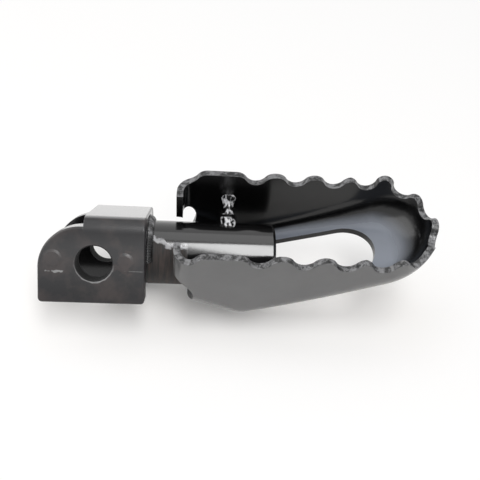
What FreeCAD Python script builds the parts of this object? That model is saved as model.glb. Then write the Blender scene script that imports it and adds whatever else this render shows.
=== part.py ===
import FreeCAD, Part
import math
import os

# Sizes in millimetres, angles in degrees. The origin is the middle of the pivot hole,
# +X runs out along the peg and +Z is square to the toothed rim the boot stands on.

# Hinge bracket, in its own upright frame with the pivot pin along Y
PIN_HOLE_R = 5.1
PIN_HOLE_CHAMFER = 0.4
BRACKET_W = 30.0
EAR_T = 5.3
EAR_BACK = 15.7
EAR_FRONT = 14.4
EAR_DOWN = 11.7
EAR_UP = 10.5
EAR_CORNER_R = 12.1
EAR_FOOT_R = 1.2
WEB_START = -3.0
WEB_TOP = 13.2
WEB_T = 5.0
WEB_BEND_R = 4.2
WEB_BEND_IN_R = 1.2
EDGE_R = 0.7

# Shaft, twist of the pan and lift of their common axis over the pivot
SHAFT_R = 9.75
SHAFT_END = 52.6
SHAFT_CHAMFER = 0.9
AXIS_LIFT = 0.9
PAN_TWIST = 40.0

# Foot pan: one sheet pressed into a deep tray
SHEET_T = 2.0
PAN_START = 22.3
PAN_HALF_W = 17.0
PAN_CORNER_R = 6.0
TIP_X = 82.6
RIM_Z = 19.2
KEEL_X = 42.5
KEEL_Z = -10.7
KEEL_R = 10.0
RAMP_OUT = 0.35
RAMP_IN = 0.45
FLOOR_BEND_R = 5.6
SIDE_BEND_R = 9.4
TIP_BEND_R = 13.0

# Teeth of the rim: rounded valleys across the sides and round the tip
VALLEY_W = 11.8
VALLEY_DEPTH = 3.3
SIDE_VALLEYS = (46.2, 58.6, 70.5, 80.8)
TIP_VALLEYS = (-57.0, -20.0, 20.0, 57.0)
CORNER_VALLEY = 25.6
TALL_TOOTH = 1.8

# Openings of the pan
SLOT_START = 36.5
SLOT_TIP = 83.8
SLOT_HALF_W = 10.0
SLOT_CORNER_R = 3.0
RELIEF_X = 22.4
RELIEF_Z = 0.8
RELIEF_R = 6.0
RELIEF_IN = 8.0
NOTCH_HALF_W = 8.7

# Weld beads
BRACKET_BEAD = 1.9
BRACKET_BEAD_FROM = -6.0
BRACKET_BEAD_TO = 186.0
STITCH_X = 38.4
STITCH_Z = 2.6
STITCH_HALF_L = 2.9
STITCH_R = 4.4
STITCH_CHAMFER = 1.2
BEAD_DOME = 0.58

# Reach of the cutting tools, and how near two coordinates count as the same
FAR = 60.0
TOUCH = 0.01
DOWNWARD = -0.5

V = FreeCAD.Vector
X_AXIS = V(1, 0, 0)
Y_AXIS = V(0, 1, 0)
Z_AXIS = V(0, 0, 1)
CENTRE = V(0, 0, 0)


# Flat outlines

def face_of(edges):
    return Part.Face(Part.Wire(Part.__sortEdges__(edges)))


def polygon(points):
    return Part.Face(Part.makePolygon(points + points[:1]))


def arc(start, mid, end):
    return Part.Arc(start, mid, end).toShape()


def line(start, end):
    return Part.makeLine(start, end)


# Edges of a solid that run along one axis at one place on another

def edges_at(solid, along, across, place):
    found = []
    for e in solid.Edges:
        run = getattr(e.BoundBox, along + "Length")
        low = getattr(e.BoundBox, across + "Min")
        high = getattr(e.BoundBox, across + "Max")
        if run > TOUCH and max(abs(low - place), abs(high - place)) < TOUCH:
            found.append(e)
    return found


# Hinge bracket: two ears and a web folded over their inner half

def ear_outline(y):
    r = EAR_CORNER_R
    turn = r * (1 - math.sqrt(0.5))
    foot_l = V(-EAR_BACK, y, -EAR_DOWN)
    foot_r = V(EAR_FRONT, y, -EAR_DOWN)
    head_r = V(EAR_FRONT, y, EAR_UP)
    arc_end = V(r - EAR_BACK, y, EAR_UP)
    arc_mid = V(turn - EAR_BACK, y, EAR_UP - turn)
    arc_start = V(-EAR_BACK, y, EAR_UP - r)
    return face_of([
        line(foot_l, foot_r),
        line(foot_r, head_r),
        line(head_r, arc_end),
        arc(arc_end, arc_mid, arc_start),
        line(arc_start, foot_l),
    ])


def ear(side):
    outer = side * BRACKET_W / 2
    plate = ear_outline(outer).extrude(V(0, -side * EAR_T, 0))
    plate = plate.makeFillet(EAR_FOOT_R, edges_at(plate, "Y", "Z", -EAR_DOWN))
    plate = plate.makeFillet(EDGE_R, edges_at(plate, "X", "Y", outer))
    return plate.cut(Part.makeBox(FAR, FAR, FAR, V(WEB_START, -FAR / 2, WEB_TOP - WEB_BEND_R)))


def web():
    half = BRACKET_W / 2
    height = WEB_BEND_R + WEB_T
    block = Part.makeBox(EAR_FRONT - WEB_START, BRACKET_W, height, V(WEB_START, -half, WEB_TOP - height))
    block = block.makeFillet(WEB_BEND_R, edges_at(block, "X", "Z", WEB_TOP))
    lip = [e for e in edges_at(block, "Y", "X", EAR_FRONT) if e.BoundBox.ZMin > WEB_TOP - TOUCH]
    block = block.makeFillet(EDGE_R, lip)
    inner = half - EAR_T
    roof = WEB_TOP - WEB_T
    gap = Part.makeBox(FAR, 2 * inner, FAR, V(-FAR / 2, -inner, roof - FAR))
    return block.cut(gap.makeFillet(WEB_BEND_IN_R, edges_at(gap, "X", "Z", roof)))


def pivot_hole():
    half = BRACKET_W / 2
    mouth = PIN_HOLE_R + PIN_HOLE_CHAMFER
    hole = Part.makeCylinder(PIN_HOLE_R, BRACKET_W, V(0, -half, 0), Y_AXIS)
    sink = Part.makeCone(mouth, PIN_HOLE_R, PIN_HOLE_CHAMFER, V(0, -half, 0), Y_AXIS)
    return [hole, sink, sink.mirror(CENTRE, Y_AXIS)]


def hinge_bracket():
    return ear(1).fuse([ear(-1), web()]).removeSplitter().cut(pivot_hole())


# Round shaft, along X about the origin

def peg_shaft():
    bar = Part.makeCylinder(SHAFT_R, SHAFT_END - EAR_FRONT, V(EAR_FRONT, 0, 0), X_AXIS)
    return bar.makeChamfer(SHAFT_CHAMFER, edges_at(bar, "Y", "X", SHAFT_END))


# Foot pan, about the shaft's axis

def plan_outline(inset):
    half = PAN_HALF_W - inset
    start = PAN_START + inset
    slant = half * math.sqrt(0.5)
    tip = V(TIP_X + half, 0, -FAR)
    left = V(TIP_X, half, -FAR)
    right = V(TIP_X, -half, -FAR)
    back_l = V(start, half, -FAR)
    back_r = V(start, -half, -FAR)
    return face_of([
        arc(right, V(TIP_X + slant, -slant, -FAR), tip),
        arc(tip, V(TIP_X + slant, slant, -FAR), left),
        line(left, back_l),
        line(back_l, back_r),
        line(back_r, right),
    ])


def keel_prism(inset):
    lift_out = inset * math.hypot(1, RAMP_OUT)
    lift_in = inset * math.hypot(1, RAMP_IN)
    shift = (lift_in - lift_out) / (RAMP_OUT + RAMP_IN)
    x = KEEL_X + shift
    z = KEEL_Z + lift_out + RAMP_OUT * shift
    y = -FAR / 2
    profile = polygon([
        V(x - FAR, y, FAR),
        V(x - FAR, y, z + RAMP_IN * FAR),
        V(x, y, z),
        V(x + 2 * FAR, y, z + 2 * RAMP_OUT * FAR),
        V(x + 2 * FAR, y, FAR),
    ])
    prism = profile.extrude(V(0, FAR, 0))
    return prism.makeFillet(KEEL_R - inset, edges_at(prism, "Y", "Z", z))


# Bends from floor to walls, growing wider towards the dished tip

def on_floor(solid, edge):
    below = 0
    for f in solid.ancestorsOfType(edge, Part.Face):
        u0, u1, v0, v1 = f.ParameterRange
        below += f.normalAt((u0 + u1) / 2, (v0 + v1) / 2).z < DOWNWARD
    return below == 1


def bend_radius(x):
    if x < TIP_X - TOUCH:
        return FLOOR_BEND_R
    if x < TIP_X + TOUCH:
        return SIDE_BEND_R
    return TIP_BEND_R


def bend_floor(block, inset):
    doc = FreeCAD.newDocument()
    sharp = doc.addObject("Part::Feature", "sharp")
    sharp.Shape = block
    bent = doc.addObject("Part::Fillet", "bent")
    bent.Base = sharp
    radii = []
    for number, e in enumerate(block.Edges, 1):
        if on_floor(block, e):
            ends = [bend_radius(e.valueAt(k).x) - inset for k in (e.FirstParameter, e.LastParameter)]
            radii.append((number, ends[0], ends[1]))
    bent.Edges = radii
    doc.recompute()
    shape = bent.Shape.copy()
    FreeCAD.closeDocument(doc.Name)
    return shape


def hull(inset):
    block = plan_outline(inset).extrude(V(0, 0, FAR + RIM_Z + TALL_TOOTH + inset))
    block = block.makeFillet(PAN_CORNER_R - inset, edges_at(block, "Z", "X", PAN_START + inset))
    return bend_floor(block.common(keel_prism(inset)), inset)


# Teeth of the rim, with one tooth left standing taller than the rest

def flank(x, side, top):
    quarter = VALLEY_W / 4
    low = RIM_Z - VALLEY_DEPTH
    rise = top - low
    r = (quarter ** 2 + rise ** 2 / 4) / rise
    half_turn = math.asin(quarter / r) / 2
    reach = side * r * math.sin(half_turn)
    sag = r * (1 - math.cos(half_turn))
    foot = V(x, 0, low)
    join = V(x + side * quarter, 0, low + rise / 2)
    crest = V(x + side * VALLEY_W / 2, 0, top)
    sky = V(crest.x, 0, FAR)
    edges = [
        arc(foot, V(x + reach, 0, low + sag), join),
        arc(join, V(crest.x - reach, 0, top - sag), crest),
        line(crest, sky),
    ]
    return edges, sky


def valley(x, left_top=RIM_Z, right_top=RIM_Z):
    left, left_sky = flank(x, -1, left_top)
    right, right_sky = flank(x, 1, right_top)
    return face_of(left + right + [line(left_sky, right_sky)])


def corner_step():
    edges, sky = flank(CORNER_VALLEY, 1, RIM_Z)
    foot = V(CORNER_VALLEY, 0, RIM_Z - VALLEY_DEPTH)
    end = foot - V(VALLEY_W, 0, 0)
    end_sky = V(end.x, 0, FAR)
    return face_of(edges + [line(foot, end), line(end, end_sky), line(end_sky, sky)])


def rim_trim():
    start = SIDE_VALLEYS[-1]
    end = TIP_X + PAN_HALF_W * math.cos(math.radians(TIP_VALLEYS[-1]))
    block = Part.makeBox(3 * FAR, FAR, FAR, V(-FAR, -FAR / 2, RIM_Z))
    return block.cut(Part.makeBox(end - start, FAR, FAR, V(start, 0, RIM_Z)))


def valley_cutters():
    tall = RIM_Z + TALL_TOOTH
    last = SIDE_VALLEYS[-1]
    left = V(0, FAR / 2, 0)
    right = V(0, -FAR / 2, 0)
    cutters = [rim_trim(), corner_step().extrude(left), corner_step().extrude(right)]
    for x in SIDE_VALLEYS:
        cutters.append(valley(x).extrude(right))
        cutters.append(valley(x, RIM_Z, tall if x == last else RIM_Z).extrude(left))
    for angle in TIP_VALLEYS:
        beside = tall if angle == TIP_VALLEYS[-1] else RIM_Z
        cutter = valley(0, RIM_Z, beside).extrude(right + V(0, SLOT_HALF_W, 0))
        cutter.translate(V(0, -SLOT_HALF_W, 0))
        cutter.rotate(CENTRE, Z_AXIS, 90 + angle)
        cutter.translate(V(TIP_X, 0, 0))
        cutters.append(cutter)
    return cutters


# Openings of the tray, and the tray itself

def slot_cutter():
    half = SLOT_HALF_W
    centre = SLOT_TIP - half
    box = Part.makeBox(centre - SLOT_START, 2 * half, FAR, V(SLOT_START, -half, -FAR / 2))
    box = box.makeFillet(SLOT_CORNER_R, edges_at(box, "Z", "X", SLOT_START))
    return box.fuse(Part.makeCylinder(half, FAR, V(centre, 0, -FAR / 2)))


def end_notch():
    corner = V(PAN_START - SHEET_T, -NOTCH_HALF_W, 0)
    return Part.makeBox(PAN_CORNER_R, 2 * NOTCH_HALF_W, FAR, corner)


def relief_holes():
    start = V(RELIEF_X, RELIEF_IN, RELIEF_Z)
    hole = Part.makeCylinder(RELIEF_R, PAN_HALF_W, start, Y_AXIS)
    return [hole, hole.mirror(CENTRE, Y_AXIS)]


def foot_pan():
    tray = hull(0).cut(hull(SHEET_T))
    bore = Part.makeCylinder(SHAFT_R, SHAFT_END, CENTRE, X_AXIS)
    return tray.cut(valley_cutters() + relief_holes() + [slot_cutter(), end_notch(), bore])


# Weld beads: a fillet with a slightly domed face, and short stitches beside the shaft

def bracket_weld():
    x = EAR_FRONT
    leg = BRACKET_BEAD
    root = V(x, SHAFT_R, 0)
    out = V(x, SHAFT_R + leg, 0)
    along = V(x + leg, SHAFT_R, 0)
    dome = V(x + leg * BEAD_DOME, SHAFT_R + leg * BEAD_DOME, 0)
    profile = face_of([line(root, out), arc(out, dome, along), line(along, root)])
    profile.rotate(CENTRE, X_AXIS, BRACKET_BEAD_FROM)
    return profile.revolve(CENTRE, X_AXIS, BRACKET_BEAD_TO - BRACKET_BEAD_FROM)


def stitch_weld(side, pan, shaft):
    y = side * (SHAFT_R + PAN_HALF_W - SHEET_T) / 2
    start = STITCH_X - STITCH_HALF_L
    end = STITCH_X + STITCH_HALF_L
    bead = Part.makeCylinder(STITCH_R, end - start, V(start, y, STITCH_Z), X_AXIS)
    rims = edges_at(bead, "Y", "X", start) + edges_at(bead, "Y", "X", end)
    return bead.makeChamfer(STITCH_CHAMFER, rims).cut([pan, shaft])


# Placing: the bracket leans back by the twist, the pan and shaft rise by the lift

def lean_back(shape):
    shape.rotate(CENTRE, X_AXIS, -PAN_TWIST)
    return shape


def lift(shape):
    lean = math.radians(PAN_TWIST)
    shape.translate(V(0, AXIS_LIFT * math.sin(lean), AXIS_LIFT * math.cos(lean)))
    return shape


def build():
    pan = foot_pan()
    shaft = peg_shaft()
    bracket_bead = bracket_weld()
    bracket_bead.translate(V(0, 0, AXIS_LIFT))
    return {
        "hinge_bracket": lean_back(hinge_bracket()),
        "bracket_weld": lean_back(bracket_bead),
        "stitch_weld_left": lift(stitch_weld(1, pan, shaft)),
        "stitch_weld_right": lift(stitch_weld(-1, pan, shaft)),
        "peg_shaft": lift(shaft),
        "foot_pan": lift(pan),
    }


os.makedirs("parts", exist_ok=True)
for name, shape in build().items():
    print(name, len(shape.Solids), round(shape.Volume, 1), shape.isValid())
    shape.Solids[0].exportStep("parts/" + name + ".step")
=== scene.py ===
import math

import bpy
from mathutils import Matrix, Vector

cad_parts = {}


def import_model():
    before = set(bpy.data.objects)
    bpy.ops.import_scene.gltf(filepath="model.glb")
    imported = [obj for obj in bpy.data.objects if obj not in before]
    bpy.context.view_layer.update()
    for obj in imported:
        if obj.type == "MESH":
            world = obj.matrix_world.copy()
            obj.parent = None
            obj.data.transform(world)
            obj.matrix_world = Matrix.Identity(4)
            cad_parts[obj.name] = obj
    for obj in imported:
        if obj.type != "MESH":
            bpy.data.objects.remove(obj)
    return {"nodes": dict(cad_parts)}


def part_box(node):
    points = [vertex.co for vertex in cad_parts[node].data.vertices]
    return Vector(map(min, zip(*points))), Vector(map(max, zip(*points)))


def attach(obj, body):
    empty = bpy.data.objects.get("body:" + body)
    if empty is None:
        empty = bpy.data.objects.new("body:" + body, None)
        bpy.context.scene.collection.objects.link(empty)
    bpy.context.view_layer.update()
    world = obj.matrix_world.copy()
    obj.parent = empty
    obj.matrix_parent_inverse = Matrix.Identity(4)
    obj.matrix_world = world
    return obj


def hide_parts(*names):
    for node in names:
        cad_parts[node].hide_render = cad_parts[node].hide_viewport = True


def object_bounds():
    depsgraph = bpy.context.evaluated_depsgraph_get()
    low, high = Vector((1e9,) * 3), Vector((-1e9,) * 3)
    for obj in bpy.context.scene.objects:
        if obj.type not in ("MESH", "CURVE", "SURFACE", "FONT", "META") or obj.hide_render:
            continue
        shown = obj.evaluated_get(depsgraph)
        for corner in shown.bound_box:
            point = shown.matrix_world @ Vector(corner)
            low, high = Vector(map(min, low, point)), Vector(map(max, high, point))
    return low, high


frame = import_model()
cad_low, cad_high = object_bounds()
MM = 0.001

# Directions in the part's frame: the bracket leans to the tray, and SLANT_UP points up and back
BRACKET_LEAN = math.radians(40.0)
BRACKET_UP = (0.0, math.sin(BRACKET_LEAN), math.cos(BRACKET_LEAN))
PIN_AXIS = (0.0, math.cos(BRACKET_LEAN), -math.sin(BRACKET_LEAN))
PEG_AXIS = (1.0, 0.0, 0.0)
RIM_UP = (0.0, 0.0, 1.0)
SLANT_UP = (0.0, 0.776, 0.629)

# Camera: turn and place fitted to the photograph, seen from the bracket's own upright frame
CAMERA_DOWN = 0.189
CAMERA_SIDE = -0.079
CAMERA_ROLL = 0.0532
CAMERA_SHIFT = Vector((-42.38, 3.861, 184.072)) * MM
CLIP_START = 5.0 * MM
SENSOR_MM = 36.0
FRAME_PX = 480
FOCAL_PX = 600

# Floor: white to the rays that show a background, less so near the part, where its shadow lies
FLOOR_SIZE = 3.0
FLOOR_COLOUR = (0.93, 0.91, 0.89, 1.0)
SHADOW_X = (-10.0 * MM, 95.0 * MM)
SHADOW_Y = -4.0 * MM
NEAR_REACH = (4.0 * MM, 30.0 * MM)
NEAR_WHITE = (0.1, 0.75)
FAR_REACH = (60.0 * MM, 300.0 * MM)

# Room: lighter towards the upper back
ROOM_COLOUR = (0.8, 0.8, 0.8, 1.0)
ROOM_UP = (0.0, 0.85, 0.53)
ROOM_SPAN = (-0.1, 0.9)
ROOM_LIGHT = (0.34, 0.70)
WHITE = (1.0, 1.0, 1.0, 1.0)

# Lamps as place, size and power: a softbox over the camera, a window behind and a fill at the left
LAMP_AIM = Vector((0.05, 0.0, 0.0))
LAMPS = {
    "key_light": (Vector((0.10, -0.17, 0.47)), (0.14, 0.34), 1.5),
    "window_light": (Vector((0.07, 0.24, 0.60)), (0.60, 0.36), 0.50),
    "fill_light": (Vector((-0.40, 0.10, 0.35)), (0.50, 0.44), 1.20),
}

# Bead round the shaft at the bracket: its ends as angles, its ripples and the hollow of its face
SHAFT_AXIS = Vector((0.0, 0.579, 0.689)) * MM
SHAFT_R = 9.75 * MM
BEAD_SINK = 0.1 * MM
BEAD_FROM = math.radians(-46.0)
BEAD_TO = math.radians(146.0)
BEAD_RIPPLES = 48
BEAD_STEPS = 6
BEAD_LEAST = 0.86
BEAD_SWELL = 0.10
BEAD_ARC = 6
BEAD_HOLLOW = 1.2

# Stitch from shaft to wall in mm: place across and up from the axis, half width, half thickness
STITCH_PATH = (
    (3.6, 9.1, 1.6, 0.5),
    (6.0, 8.0, 2.3, 1.0),
    (8.6, 6.9, 2.5, 1.4),
    (11.0, 6.3, 1.9, 1.5),
    (13.2, 6.6, 1.5, 1.4),
    (14.5, 8.0, 1.9, 1.0),
    (15.1, 9.6, 2.3, 0.7),
    (15.2, 11.0, 1.7, 0.4),
)
STITCH_SIDES = 20
STITCH_STEPS = 6

# Paint on every piece: gloss black with orange peel, worn in patches along the edges
PAINT_BLACK = (0.0028, 0.0028, 0.0030, 1.0)
# Painted reflection: a grey that stands in for the lit floor and room mirrored in outward faces
PAINTED_REFLECTION_GREY = (0.142, 0.142, 0.144, 1.0)
PAINT_WORN = (0.18, 0.18, 0.185, 1.0)
PAINT_IOR = 1.50
PEEL_DEPTH = 0.05 * MM
PEEL_DETAIL = 3.0
FINE_PEEL = 1500.0
COARSE_PEEL = 700.0
GLOSS_GRAIN = 90.0
MID_NOISE = (0.3, 0.7)
BEVEL_SAMPLES = 6
EDGE_ROUND = 0.25 * MM
EDGE_REACH = 0.5 * MM
EDGE_FACING = (0.99, 0.80)
EDGE_GRAIN = 420.0
EDGE_PATCHES = (0.35, 0.62)
EDGE_LEAST = 0.1

# Tray paint: a painted reflection in grey outside, bluish dust and painted sheen on the floor, and a rubbed
# rim
PAN_MIDDLE = Vector((60.0, 0.58, 4.0)) * MM
PAN_OUTSIDE = (2.0 * MM, 5.0 * MM)
PAN_PEEL = 0.05
PAN_GLOSS = (0.175, 0.205)
PAN_WEAR = 0.35
PAINTED_REFLECTION_GRAIN = 60.0
PAINTED_REFLECTION_SHARE = (0.85, 1.0)
PAINTED_REFLECTION_ROUGHNESS = 0.20
# Dust and painted sheen: a bluish grey on the tray's up-facing floor that also stands in for light mirrored
# there
DUST_SHEEN_COLOUR = (0.185, 0.203, 0.238, 1.0)
DUST_SHEEN_FACING = (0.60, 0.92)
DUST_SHEEN_HEIGHT = (12.0 * MM, 8.0 * MM)
DUST_SHEEN_GRAIN = 70.0
DUST_SHEEN_SHARE = (0.88, 1.0)
DUST_SHEEN_ROUGHNESS = 0.30
RIM_FACING = (0.48, 0.62)
RIM_HEIGHT = (13.0 * MM, 14.0 * MM)
RIM_GRAIN = 520.0
RIM_GRIT = 0.75
RIM_PATCHES = (0.44, 0.58)
RIM_ROUGHNESS = 0.32
RIM_PEEL = 0.6

# Shaft paint: lacquered, but the stub at the bracket is bare brown scale below a ragged line that carries a
# pale painted highlight
SHAFT_PEEL = 0.16
SHAFT_GLOSS = (0.12, 0.18)
SHAFT_WEAR = 0.5
SHAFT_LACQUER = (0.6, 0.0)
SHAFT_LACQUER_ROUGHNESS = 0.14
STUB_END = (26.5 * MM, 25.5 * MM)
LINE_X = (16.0 * MM, 21.0 * MM)
LINE_HEIGHT = (5.4 * MM, 2.8 * MM)
LINE_GRAIN = 500.0
LINE_JAGS = (-0.7 * MM, 0.7 * MM)
HIGHLIGHT_LINE_WIDTH = (0.8 * MM, 0.3 * MM)
PAINTED_HIGHLIGHT_COLOUR = (0.36, 0.36, 0.37, 1.0)
BARE_EDGE = (0.2 * MM, -0.2 * MM)
BARE_GRAIN = 900.0
BARE_STRETCH = (1.0, 0.12, 0.12)
BARE_PATCHES = (0.42, 0.70)
BARE_DARK = (0.002, 0.0018, 0.0018, 1.0)
BARE_BROWN = (0.060, 0.044, 0.039, 1.0)
BARE_ROUGHNESS = (0.55, 0.85)

# Bracket paint: stained black, a painted reflection in grey on the web's top, painted shade in black
# between the ears and in the pivot hole, and lacquer that thins to the ear's bottom and top
BRACKET_PEEL = 0.10
BRACKET_WEAR = 0.5
BRACKET_BLACK = (0.006, 0.0058, 0.0072, 1.0)
STAIN_COLOUR = (0.034, 0.026, 0.025, 1.0)
STAIN_GRAIN = 160.0
STAIN_PATCHES = (0.46, 0.66)
STAIN_SHARE = (0.0, 0.8)
EAR_FRONT = (-12.5 * MM, -13.5 * MM)
EAR_INSIDE = (10.2 * MM, 9.8 * MM)
EAR_GRAIN = 140.0
EAR_SATIN = (0.34, 0.46)
TOP_FACING = (0.86, 0.99)
TOP_ROUGHNESS = 0.14
HOLE_ROUGHNESS = 0.95
LACQUER_ROUGHNESS = 0.22
LACQUER_TOP = 0.95
LACQUER_LOW = ((-9.0 * MM, 2.0 * MM), (0.0, 0.65))
LACQUER_HIGH = ((5.0 * MM, 10.0 * MM), (1.0, 0.1))

# Spots on the ears in mm: place across and up from the pivot, half width, half height
SPOT_GRAIN = 700.0
SPOT_SOFT = (1.1, 0.8)
BOSSES = ((-11.5, 1.1, 2.5, 2.5), (8.6, 0.3, 2.6, 2.8))
BOSS_HEIGHT = 0.3 * MM
SMUDGE = (8.6, 0.3, 2.3, 2.9)
SMUDGE_RAGGED = 0.7
SMUDGE_SHARE = 0.4
SMUDGE_COLOUR = (0.050, 0.034, 0.032, 1.0)
SCRATCH = (-11.0, -2.5, 2.0, 0.30)
SCRATCH_RAGGED = 0.9
THIN_LINE = (12.0, -1.9, 2.7, 0.14)
THIN_RAGGED = 0.4
THIN_SHARE = 0.4
HOLE = (0.0, 0.0, 5.25, 5.25)
HOLE_SOFT = (1.02, 1.0)
# Painted highlight: a light grey ring on the hole's lower lip
LIP_HIGHLIGHT = (0.0, 0.0, 5.65, 5.65)
LIP_HIGHLIGHT_RAGGED = 0.04
LIP_HIGHLIGHT_SOFT = (1.01, 0.98)
LIP_HIGHLIGHT_BELOW = ((0.0, -3.0 * MM), (0.0, 0.7))
MARK_AND_HIGHLIGHT_COLOUR = (0.24, 0.24, 0.24, 1.0)

# Weld paint: bright weld metal with painted glints in specks on the stitches, a dark seam across, and
# painted glints on the bead's upper part
WELD_PEEL = 0.45
WELD_METAL_AND_GLINT = (0.70, 0.70, 0.72, 1.0)
WELD_GRAIN = 300.0
WELD_GLOSS = (0.16, 0.30)
STITCHES_FROM = (30.0 * MM, 31.0 * MM)
SPECK_GRAIN = 900.0
SPECK_STRETCH = (1.0, 0.4, 0.4)
SPECK_PATCHES = (0.46, 0.58)
SEAM_HEIGHT = 12.9 * MM
SEAM_WIDTH = (0.3 * MM, 0.7 * MM)
GLINT_GRAIN = 450.0
GLINT_PATCHES = (0.46, 0.66)
GLINT_SHARE = (0.06, 0.40)
GLINT_HEIGHT = ((4.0 * MM, 6.5 * MM), (0.1, 1.0))


# Node helpers

def new_material(name):
    material = bpy.data.materials.new(name)
    material.use_nodes = True
    material.node_tree.nodes.clear()
    return material, material.node_tree


def add(tree, kind, **values):
    node = tree.nodes.new(kind)
    for key, value in values.items():
        setattr(node, key, value)
    return node


def fill(tree, socket, value):
    if isinstance(value, bpy.types.NodeSocket):
        tree.links.new(value, socket)
    else:
        socket.default_value = value


def place(tree):
    return add(tree, "ShaderNodeTexCoord").outputs["Object"]


def normal(tree):
    return add(tree, "ShaderNodeNewGeometry").outputs["Normal"]


def dot(tree, first, second):
    node = add(tree, "ShaderNodeVectorMath", operation="DOT_PRODUCT")
    fill(tree, node.inputs[0], first)
    fill(tree, node.inputs[1], second)
    return node.outputs["Value"]


def along(tree, direction):
    return dot(tree, place(tree), direction)


def facing(tree, direction):
    return dot(tree, normal(tree), direction)


def maths(tree, kind, first, second=0.0):
    node = add(tree, "ShaderNodeMath", operation=kind)
    fill(tree, node.inputs[0], first)
    fill(tree, node.inputs[1], second)
    return node.outputs["Value"]


def times(tree, first, second):
    return maths(tree, "MULTIPLY", first, second)


def most(tree, first, second):
    return maths(tree, "MAXIMUM", first, second)


def distance(tree, across, above):
    square = maths(tree, "ADD", times(tree, across, across), times(tree, above, above))
    return maths(tree, "SQRT", square)


def ramp(tree, value, span, result=(0.0, 1.0)):
    node = add(tree, "ShaderNodeMapRange")
    for name, number in zip(("From Min", "From Max", "To Min", "To Max"), (*span, *result)):
        node.inputs[name].default_value = number
    fill(tree, node.inputs["Value"], value)
    return node.outputs["Result"]


def noise(tree, scale, detail=4.0, roughness=0.55, stretch=(1.0, 1.0, 1.0)):
    mapping = add(tree, "ShaderNodeMapping")
    mapping.inputs["Scale"].default_value = stretch
    texture = add(tree, "ShaderNodeTexNoise")
    texture.inputs["Scale"].default_value = scale
    texture.inputs["Detail"].default_value = detail
    texture.inputs["Roughness"].default_value = roughness
    fill(tree, mapping.inputs["Vector"], place(tree))
    fill(tree, texture.inputs["Vector"], mapping.outputs["Vector"])
    return texture.outputs["Fac"]


def vary(tree, scale, result):
    return ramp(tree, noise(tree, scale), MID_NOISE, result)


def mix(tree, kind, share, first, second):
    node = add(tree, "ShaderNodeMix", data_type=kind)
    wanted = "VALUE" if kind == "FLOAT" else kind
    ends = [socket for socket in node.inputs if socket.name in ("A", "B") and socket.type == wanted]
    for socket, value in zip((node.inputs["Factor"], *ends), (share, first, second)):
        fill(tree, socket, value)
    return next(socket for socket in node.outputs if socket.type == wanted)


def blend(tree, share, first, second):
    return mix(tree, "FLOAT", share, first, second)


def mix_colour(tree, share, first, second):
    return mix(tree, "RGBA", share, first, second)


def mix_shader(tree, share, first, second):
    node = add(tree, "ShaderNodeMixShader")
    for socket, value in zip(node.inputs, (share, first, second)):
        fill(tree, socket, value)
    return node.outputs["Shader"]


def bevel_normal(tree, radius):
    bevel = add(tree, "ShaderNodeBevel", samples=BEVEL_SAMPLES)
    bevel.inputs["Radius"].default_value = radius
    return bevel.outputs["Normal"]


def background_ray(tree):
    path = add(tree, "ShaderNodeLightPath").outputs
    return most(tree, path["Is Camera Ray"], most(tree, path["Is Glossy Ray"], path["Is Transmission Ray"]))


# Materials

def gloss_black(name, peel, peel_size):
    material, tree = new_material(name)
    shader = add(tree, "ShaderNodeBsdfPrincipled")
    shader.inputs["IOR"].default_value = PAINT_IOR
    bump = add(tree, "ShaderNodeBump")
    bump.inputs["Strength"].default_value = peel
    bump.inputs["Distance"].default_value = PEEL_DEPTH
    fill(tree, bump.inputs["Height"], noise(tree, peel_size, detail=PEEL_DETAIL))
    fill(tree, bump.inputs["Normal"], bevel_normal(tree, EDGE_ROUND))
    fill(tree, shader.inputs["Normal"], bump.outputs["Normal"])
    output = add(tree, "ShaderNodeOutputMaterial")
    fill(tree, output.inputs["Surface"], shader.outputs["BSDF"])
    return material, tree, shader.inputs, bump


def worn_edges(tree, wear):
    edges = ramp(tree, dot(tree, bevel_normal(tree, EDGE_REACH), normal(tree)), EDGE_FACING)
    return times(tree, edges, ramp(tree, noise(tree, EDGE_GRAIN), EDGE_PATCHES, (EDGE_LEAST, wear)))


def pan_outside(tree):
    away = add(tree, "ShaderNodeVectorMath", operation="SUBTRACT")
    fill(tree, away.inputs[0], place(tree))
    fill(tree, away.inputs[1], PAN_MIDDLE)
    return ramp(tree, dot(tree, away.outputs["Vector"], normal(tree)), PAN_OUTSIDE)


def pan_paint():
    material, tree, shader, bump = gloss_black("pan_paint", PAN_PEEL, FINE_PEEL)
    up = facing(tree, RIM_UP)
    height = along(tree, RIM_UP)
    # Outward faces get the painted reflection in grey; the inside stays black
    painted_reflection = times(tree, pan_outside(tree), vary(tree, PAINTED_REFLECTION_GRAIN, PAINTED_REFLECTION_SHARE))
    # Up-facing floor inside gets dust and a painted sheen
    shelf = times(tree, ramp(tree, up, DUST_SHEEN_FACING), ramp(tree, height, DUST_SHEEN_HEIGHT))
    dust_and_sheen = times(tree, shelf, vary(tree, DUST_SHEEN_GRAIN, DUST_SHEEN_SHARE))
    rim = times(tree, ramp(tree, up, RIM_FACING), ramp(tree, height, RIM_HEIGHT))
    rubbed = times(tree, rim, ramp(tree, noise(tree, RIM_GRAIN, roughness=RIM_GRIT), RIM_PATCHES))

    colour = mix_colour(tree, dust_and_sheen, PAINT_BLACK, DUST_SHEEN_COLOUR)
    colour = mix_colour(tree, painted_reflection, colour, PAINTED_REFLECTION_GREY)
    colour = mix_colour(tree, rim, colour, PAINT_BLACK)
    worn = most(tree, rubbed, worn_edges(tree, PAN_WEAR))
    fill(tree, shader["Base Color"], mix_colour(tree, worn, colour, PAINT_WORN))

    rough = blend(tree, dust_and_sheen, vary(tree, GLOSS_GRAIN, PAN_GLOSS), DUST_SHEEN_ROUGHNESS)
    rough = blend(tree, painted_reflection, rough, PAINTED_REFLECTION_ROUGHNESS)
    fill(tree, shader["Roughness"], blend(tree, rim, rough, RIM_ROUGHNESS))
    fill(tree, bump.inputs["Strength"], blend(tree, rim, PAN_PEEL, RIM_PEEL))
    return material


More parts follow.
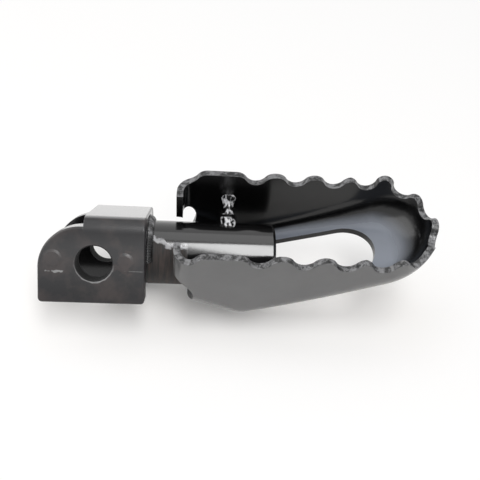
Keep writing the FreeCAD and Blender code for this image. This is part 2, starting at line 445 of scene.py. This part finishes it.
def shaft_paint():
    material, tree, shader, _ = gloss_black("shaft_paint", SHAFT_PEEL, COARSE_PEEL)
    x = along(tree, PEG_AXIS)
    height = maths(tree, "ADD", along(tree, SLANT_UP), vary(tree, LINE_GRAIN, LINE_JAGS))
    over = maths(tree, "SUBTRACT", height, ramp(tree, x, LINE_X, LINE_HEIGHT))
    stub = ramp(tree, x, STUB_END)
    bare = times(tree, stub, ramp(tree, over, BARE_EDGE))
    # Painted highlight: a pale ragged line along the paint edge
    highlight_line = times(tree, stub, ramp(tree, maths(tree, "ABSOLUTE", over), HIGHLIGHT_LINE_WIDTH))
    turned = noise(tree, BARE_GRAIN, stretch=BARE_STRETCH)

    painted = mix_colour(tree, worn_edges(tree, SHAFT_WEAR), PAINT_BLACK, PAINT_WORN)
    scale = mix_colour(tree, ramp(tree, turned, BARE_PATCHES), BARE_DARK, BARE_BROWN)
    colour = mix_colour(tree, bare, painted, scale)
    fill(tree, shader["Base Color"], mix_colour(tree, highlight_line, colour, PAINTED_HIGHLIGHT_COLOUR))

    dull = ramp(tree, turned, MID_NOISE, BARE_ROUGHNESS)
    fill(tree, shader["Roughness"], blend(tree, bare, vary(tree, GLOSS_GRAIN, SHAFT_GLOSS), dull))
    fill(tree, shader["Coat Weight"], ramp(tree, bare, (0.0, 1.0), SHAFT_LACQUER))
    shader["Coat Roughness"].default_value = SHAFT_LACQUER_ROUGHNESS
    return material


def ear_spot(tree, spot, ragged=0.0, soft=SPOT_SOFT):
    x, up, half_x, half_up = (number * MM for number in spot)
    across = maths(tree, "DIVIDE", maths(tree, "SUBTRACT", along(tree, PEG_AXIS), x), half_x)
    above = maths(tree, "DIVIDE", maths(tree, "SUBTRACT", along(tree, BRACKET_UP), up), half_up)
    reach = distance(tree, across, above)
    if ragged:
        reach = maths(tree, "ADD", reach, vary(tree, SPOT_GRAIN, (-ragged, ragged)))
    return ramp(tree, reach, soft)


def ear_colour(tree, front):
    stain = ramp(tree, noise(tree, STAIN_GRAIN), STAIN_PATCHES, STAIN_SHARE)
    colour = mix_colour(tree, stain, BRACKET_BLACK, STAIN_COLOUR)
    smudge = times(tree, ear_spot(tree, SMUDGE, SMUDGE_RAGGED), SMUDGE_SHARE)
    colour = mix_colour(tree, times(tree, smudge, front), colour, SMUDGE_COLOUR)
    scratch = ear_spot(tree, SCRATCH, SCRATCH_RAGGED)
    thin = times(tree, ear_spot(tree, THIN_LINE, THIN_RAGGED), THIN_SHARE)
    # The hole's lower lip gets a painted highlight in the same grey as the scratches
    below = ramp(tree, along(tree, BRACKET_UP), *LIP_HIGHLIGHT_BELOW)
    lip = times(tree, ear_spot(tree, LIP_HIGHLIGHT, LIP_HIGHLIGHT_RAGGED, LIP_HIGHLIGHT_SOFT), below)
    marks_and_highlight = most(tree, most(tree, scratch, thin), lip)
    return mix_colour(tree, times(tree, marks_and_highlight, front), colour, MARK_AND_HIGHLIGHT_COLOUR)


def bracket_paint():
    material, tree, shader, bump = gloss_black("bracket_paint", BRACKET_PEEL, FINE_PEEL)
    across = along(tree, PIN_AXIS)
    front = ramp(tree, across, EAR_FRONT)
    inner = ramp(tree, maths(tree, "ABSOLUTE", across), EAR_INSIDE)
    top = ramp(tree, facing(tree, BRACKET_UP), TOP_FACING)
    hole = ear_spot(tree, HOLE, soft=HOLE_SOFT)
    # Painted shade: the ears' inner faces and the pivot hole are turned black
    painted_shade = most(tree, hole, maths(tree, "SUBTRACT", inner, top))

    # Painted reflection: the web's up-facing top gets the grey
    colour = mix_colour(tree, top, ear_colour(tree, front), PAINTED_REFLECTION_GREY)
    colour = mix_colour(tree, painted_shade, colour, PAINT_BLACK)
    fill(tree, shader["Base Color"], mix_colour(tree, worn_edges(tree, BRACKET_WEAR), colour, PAINT_WORN))

    rough = blend(tree, most(tree, top, inner), vary(tree, EAR_GRAIN, EAR_SATIN), TOP_ROUGHNESS)
    fill(tree, shader["Roughness"], blend(tree, hole, rough, HOLE_ROUGHNESS))
    height = along(tree, BRACKET_UP)
    thick = times(tree, ramp(tree, height, *LACQUER_LOW), ramp(tree, height, *LACQUER_HIGH))
    lacquer = times(tree, maths(tree, "SUBTRACT", 1.0, painted_shade), blend(tree, top, thick, LACQUER_TOP))
    fill(tree, shader["Coat Weight"], lacquer)
    shader["Coat Roughness"].default_value = LACQUER_ROUGHNESS

    left, right = (ear_spot(tree, boss) for boss in BOSSES)
    raised = add(tree, "ShaderNodeBump")
    raised.inputs["Distance"].default_value = BOSS_HEIGHT
    fill(tree, raised.inputs["Height"], times(tree, most(tree, left, right), front))
    fill(tree, raised.inputs["Normal"], bump.outputs["Normal"])
    fill(tree, shader["Normal"], raised.outputs["Normal"])
    return material


def weld_paint():
    material, tree, shader, _ = gloss_black("weld_paint", WELD_PEEL, COARSE_PEEL)
    stitches = ramp(tree, along(tree, PEG_AXIS), STITCHES_FROM)
    height = along(tree, SLANT_UP)
    seam = maths(tree, "ABSOLUTE", maths(tree, "SUBTRACT", height, SEAM_HEIGHT))
    # Specks of bright weld metal on the stitches, partly painted glints
    specks = ramp(tree, noise(tree, SPECK_GRAIN, stretch=SPECK_STRETCH), SPECK_PATCHES)
    specks = times(tree, specks, ramp(tree, seam, SEAM_WIDTH))
    # Painted glints on the bead's upper part
    painted_glints = ramp(tree, noise(tree, GLINT_GRAIN), GLINT_PATCHES, GLINT_SHARE)
    painted_glints = times(tree, painted_glints, ramp(tree, height, *GLINT_HEIGHT))
    metal_and_glints = blend(tree, stitches, painted_glints, specks)
    fill(tree, shader["Base Color"], mix_colour(tree, metal_and_glints, PAINT_BLACK, WELD_METAL_AND_GLINT))
    fill(tree, shader["Roughness"], vary(tree, WELD_GRAIN, WELD_GLOSS))
    return material


def white_floor():
    material, tree = new_material("floor_white")
    diffuse = add(tree, "ShaderNodeBsdfDiffuse")
    diffuse.inputs["Color"].default_value = FLOOR_COLOUR
    glow = add(tree, "ShaderNodeEmission")
    glow.inputs["Color"].default_value = WHITE
    spot = add(tree, "ShaderNodeSeparateXYZ")
    fill(tree, spot.inputs["Vector"], place(tree))
    x = spot.outputs["X"]
    nearest = maths(tree, "MINIMUM", most(tree, x, SHADOW_X[0]), SHADOW_X[1])
    across = maths(tree, "SUBTRACT", x, nearest)
    reach = distance(tree, across, maths(tree, "SUBTRACT", spot.outputs["Y"], SHADOW_Y))
    level = most(tree, ramp(tree, reach, NEAR_REACH, NEAR_WHITE), ramp(tree, reach, FAR_REACH))
    share = times(tree, background_ray(tree), level)
    output = add(tree, "ShaderNodeOutputMaterial")
    surface = mix_shader(tree, share, diffuse.outputs["BSDF"], glow.outputs["Emission"])
    fill(tree, output.inputs["Surface"], surface)
    return material


# Welds

def ring_mesh(name, rings):
    count = len(rings[0])
    points = [point for ring in rings for point in ring]
    faces = []
    for start in range(0, len(points) - count, count):
        for j in range(count):
            k = (j + 1) % count
            faces.append((start + j, start + k, start + count + k, start + count + j))
    faces.append(tuple(reversed(range(count))))
    faces.append(tuple(range(len(points) - count, len(points))))
    mesh = bpy.data.meshes.new(name)
    mesh.from_pydata(points, [], faces)
    mesh.polygons.foreach_set("use_smooth", [True] * len(faces))
    piece = bpy.data.objects.new(name, mesh)
    bpy.context.scene.collection.objects.link(piece)
    return piece


def take_place(piece, node, material):
    piece.data.materials.append(material)
    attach(piece, "root")
    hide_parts(node)


def bead_profile(leg):
    points = [(0.0, 0.0), (0.0, leg)]
    for k in range(1, BEAD_ARC):
        angle = math.pi / 2 * k / BEAD_ARC
        points.append((leg * math.sin(angle) ** BEAD_HOLLOW, leg * math.cos(angle) ** BEAD_HOLLOW))
    points.append((leg, 0.0))
    return points


def bracket_bead(material):
    low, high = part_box("bracket_weld")
    steps = BEAD_RIPPLES * BEAD_STEPS
    rings = []
    for i in range(steps + 1):
        turn = BEAD_FROM + (BEAD_TO - BEAD_FROM) * i / steps
        swell = BEAD_LEAST + BEAD_SWELL * abs(math.sin(math.pi * i / BEAD_STEPS))
        ring = []
        for x, out in bead_profile((high.x - low.x) * swell):
            radius = SHAFT_R - BEAD_SINK + out
            ring.append(SHAFT_AXIS + Vector((low.x + x, radius * math.cos(turn), radius * math.sin(turn))))
        rings.append(ring)
    take_place(ring_mesh("bracket_bead", rings), "bracket_weld", material)


def smooth_path(points, steps):
    ends = [points[0], *points, points[-1]]
    found = []
    for four in zip(ends, ends[1:], ends[2:], ends[3:]):
        before, start, end, after = (Vector(point) for point in four)
        bend = 2 * before - 5 * start + 4 * end - after
        twist = 3 * start - before - 3 * end + after
        for k in range(steps):
            t = k / steps
            found.append(0.5 * (2 * start + (end - before) * t + bend * t ** 2 + twist * t ** 3))
    found.append(Vector(points[-1]))
    return found


def wall_stitch(material):
    low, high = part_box("stitch_weld_left")
    middle = SHAFT_AXIS + Vector(((low.x + high.x) / 2, 0.0, 0.0))
    path = smooth_path(STITCH_PATH, STITCH_STEPS)
    rings = []
    for i, (across, up, half_width, half_thickness) in enumerate(path):
        step = path[min(i + 1, len(path) - 1)] - path[max(i - 1, 0)]
        run = Vector((step[0], step[1])).normalized()
        ring = []
        for k in range(STITCH_SIDES):
            turn = math.tau * k / STITCH_SIDES
            lift = half_thickness * math.sin(turn)
            offset = Vector((half_width * math.cos(turn), across - run.y * lift, up + run.x * lift))
            ring.append(middle + offset * MM)
        rings.append(ring)
    take_place(ring_mesh("wall_stitch", rings), "stitch_weld_left", material)


# Stage

def floor():
    bpy.ops.mesh.primitive_plane_add(size=FLOOR_SIZE, location=(0, 0, cad_low.z))
    plane = bpy.context.object
    plane.name = "floor"
    plane.data.materials.append(white_floor())


def background(tree, colour, strength):
    node = add(tree, "ShaderNodeBackground")
    node.inputs["Color"].default_value = colour
    fill(tree, node.inputs["Strength"], strength)
    return node.outputs["Background"]


def world():
    sky = bpy.data.worlds.new("studio")
    bpy.context.scene.world = sky
    sky.use_nodes = True
    tree = sky.node_tree
    tree.nodes.clear()
    direction = add(tree, "ShaderNodeTexCoord").outputs["Generated"]
    light = ramp(tree, dot(tree, direction, ROOM_UP), ROOM_SPAN, ROOM_LIGHT)
    room = background(tree, ROOM_COLOUR, light)
    white = background(tree, WHITE, 1.0)
    output = add(tree, "ShaderNodeOutputWorld")
    fill(tree, output.inputs["Surface"], mix_shader(tree, background_ray(tree), room, white))


def soft_light(name, location, size, power):
    data = bpy.data.lights.new(name, "AREA")
    data.shape = "RECTANGLE"
    data.size, data.size_y = size
    data.energy = power
    lamp = bpy.data.objects.new(name, data)
    bpy.context.scene.collection.objects.link(lamp)
    lamp.location = location
    lamp.rotation_mode = "QUATERNION"
    lamp.rotation_quaternion = (LAMP_AIM - location).to_track_quat("-Z", "Y")


def photo_camera():
    lean = Matrix.Rotation(BRACKET_LEAN, 3, "X")
    upright = Matrix(((1, 0, 0), (0, 0, -1), (0, 1, 0)))
    turn = (
        Matrix.Rotation(CAMERA_ROLL, 3, "Z")
        @ Matrix.Rotation(CAMERA_DOWN, 3, "X")
        @ Matrix.Rotation(CAMERA_SIDE, 3, "Y")
    )
    to_image = turn @ upright @ lean
    flip = Matrix(((1, 0, 0), (0, -1, 0), (0, 0, -1)))
    data = bpy.data.cameras.new("photo_camera")
    data.sensor_width = SENSOR_MM
    data.lens = SENSOR_MM * FOCAL_PX / FRAME_PX
    data.clip_start = CLIP_START
    camera = bpy.data.objects.new("photo_camera", data)
    bpy.context.scene.collection.objects.link(camera)
    location = -(to_image.transposed() @ CAMERA_SHIFT)
    rotation = (flip @ to_image).transposed().to_quaternion()
    camera.matrix_world = Matrix.LocRotScale(location, rotation, None)
    bpy.context.scene.camera = camera


def dress(node, material):
    piece = frame["nodes"][node]
    piece.data.materials.clear()
    piece.data.materials.append(material)


dress("hinge_bracket", bracket_paint())
dress("foot_pan", pan_paint())
dress("peg_shaft", shaft_paint())
welds = weld_paint()
bracket_bead(welds)
wall_stitch(welds)
dress("stitch_weld_right", welds)

floor()
world()
for name, (location, size, power) in LAMPS.items():
    soft_light(name, location, size, power)
photo_camera()
bpy.context.scene.view_settings.view_transform = "Standard"
